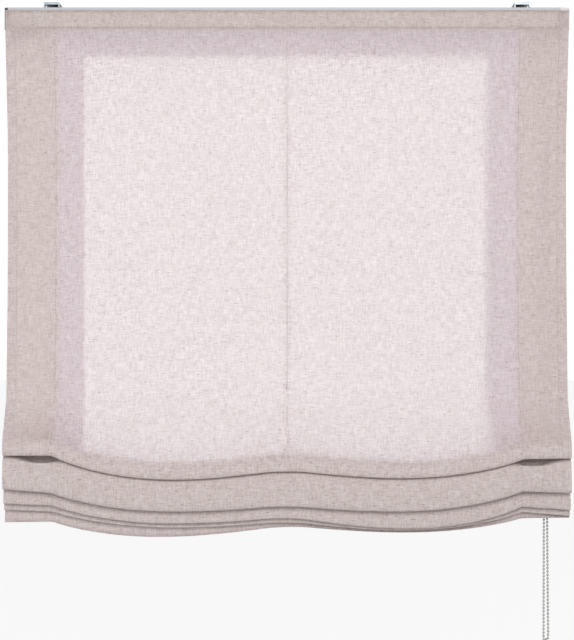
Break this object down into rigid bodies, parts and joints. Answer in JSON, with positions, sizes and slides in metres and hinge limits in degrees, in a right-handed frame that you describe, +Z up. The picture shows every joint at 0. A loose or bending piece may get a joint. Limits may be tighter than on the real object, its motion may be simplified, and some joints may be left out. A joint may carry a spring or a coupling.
{
  "type": "roman blind",
  "caption": "Soft-fold roman blind, partly raised: a linen cloth on a ceiling-mounted head rail, gathered in sagging folds by lift cords and worked by a looped ball chain.",
  "frame": {"origin": "on the ceiling, midway between the two brackets' screw holes", "axes": "+X to the right as seen from the room, +Y towards the window, +Z up"},
  "size_m": [0.9532, 0.0808, 1.0821],
  "materials": {
    "linen": "slubby plain weave",
    "rail_paint": "satin",
    "dark_plastic": "moulded",
    "pale_plastic": "moulded",
    "clear_plastic": "moulded",
    "steel": "zinc plated",
    "chain_metal": "satin nickel",
    "cord_fabric": "braided",
    "tape_fabric": "woven tape"
  },
  "bodies": {
    "frame": {"bead_chain": "chain_metal", "blind_cloth": "linen", "ceiling_bracket_left": "steel", "ceiling_bracket_right": "steel", "control_cover": "pale_plastic", "control_housing": "pale_plastic", "cord_stopper_left": "clear_plastic", "cord_stopper_middle": "clear_plastic", "cord_stopper_right": "clear_plastic", "end_cap": "dark_plastic", "head_rail": "rail_paint", "hook_strip": "tape_fabric", "lever_rivet_left": "steel", "lever_rivet_right": "steel", "lift_cord_left": "cord_fabric", "lift_cord_middle": "cord_fabric", "lift_cord_right": "cord_fabric", "lift_rings_left": "clear_plastic", "lift_rings_middle": "clear_plastic", "lift_rings_right": "clear_plastic", "loop_strip": "tape_fabric", "ring_tape_left": "tape_fabric", "ring_tape_middle": "tape_fabric", "ring_tape_right": "tape_fabric", "spool_cradle_left": "pale_plastic", "spool_cradle_middle": "pale_plastic", "spool_cradle_right": "pale_plastic"},
    "rotor": {"lift_shaft": "steel", "drive_coupler": "dark_plastic", "chain_wheel": "pale_plastic", "brake_spring": "steel", "cord_spool_left": "pale_plastic", "cord_spool_middle": "pale_plastic", "cord_spool_right": "pale_plastic", "cord_winding_left": "cord_fabric", "cord_winding_middle": "cord_fabric", "cord_winding_right": "cord_fabric"},
    "lever_left": {"bracket_lever_left": "dark_plastic"},
    "lever_right": {"bracket_lever_right": "dark_plastic"}
  },
  "joints": [
    {"name": "shaft_turn", "type": "hinge", "parent": "frame", "child": "rotor", "pos_m": [0, 0.004, -0.031], "axis": [1, 0, 0], "range_deg": [-4320, 3740], "deforming": ["bead_chain"]},
    {"name": "lever_swing_left", "type": "hinge", "parent": "frame", "child": "lever_left", "pos_m": [-0.397, 0, -0.005], "axis": [0, 0, 1], "range_deg": [0, 90]},
    {"name": "lever_swing_right", "type": "hinge", "parent": "frame", "child": "lever_right", "pos_m": [0.397, 0, -0.005], "axis": [0, 0, 1], "range_deg": [0, 90]}
  ]
}
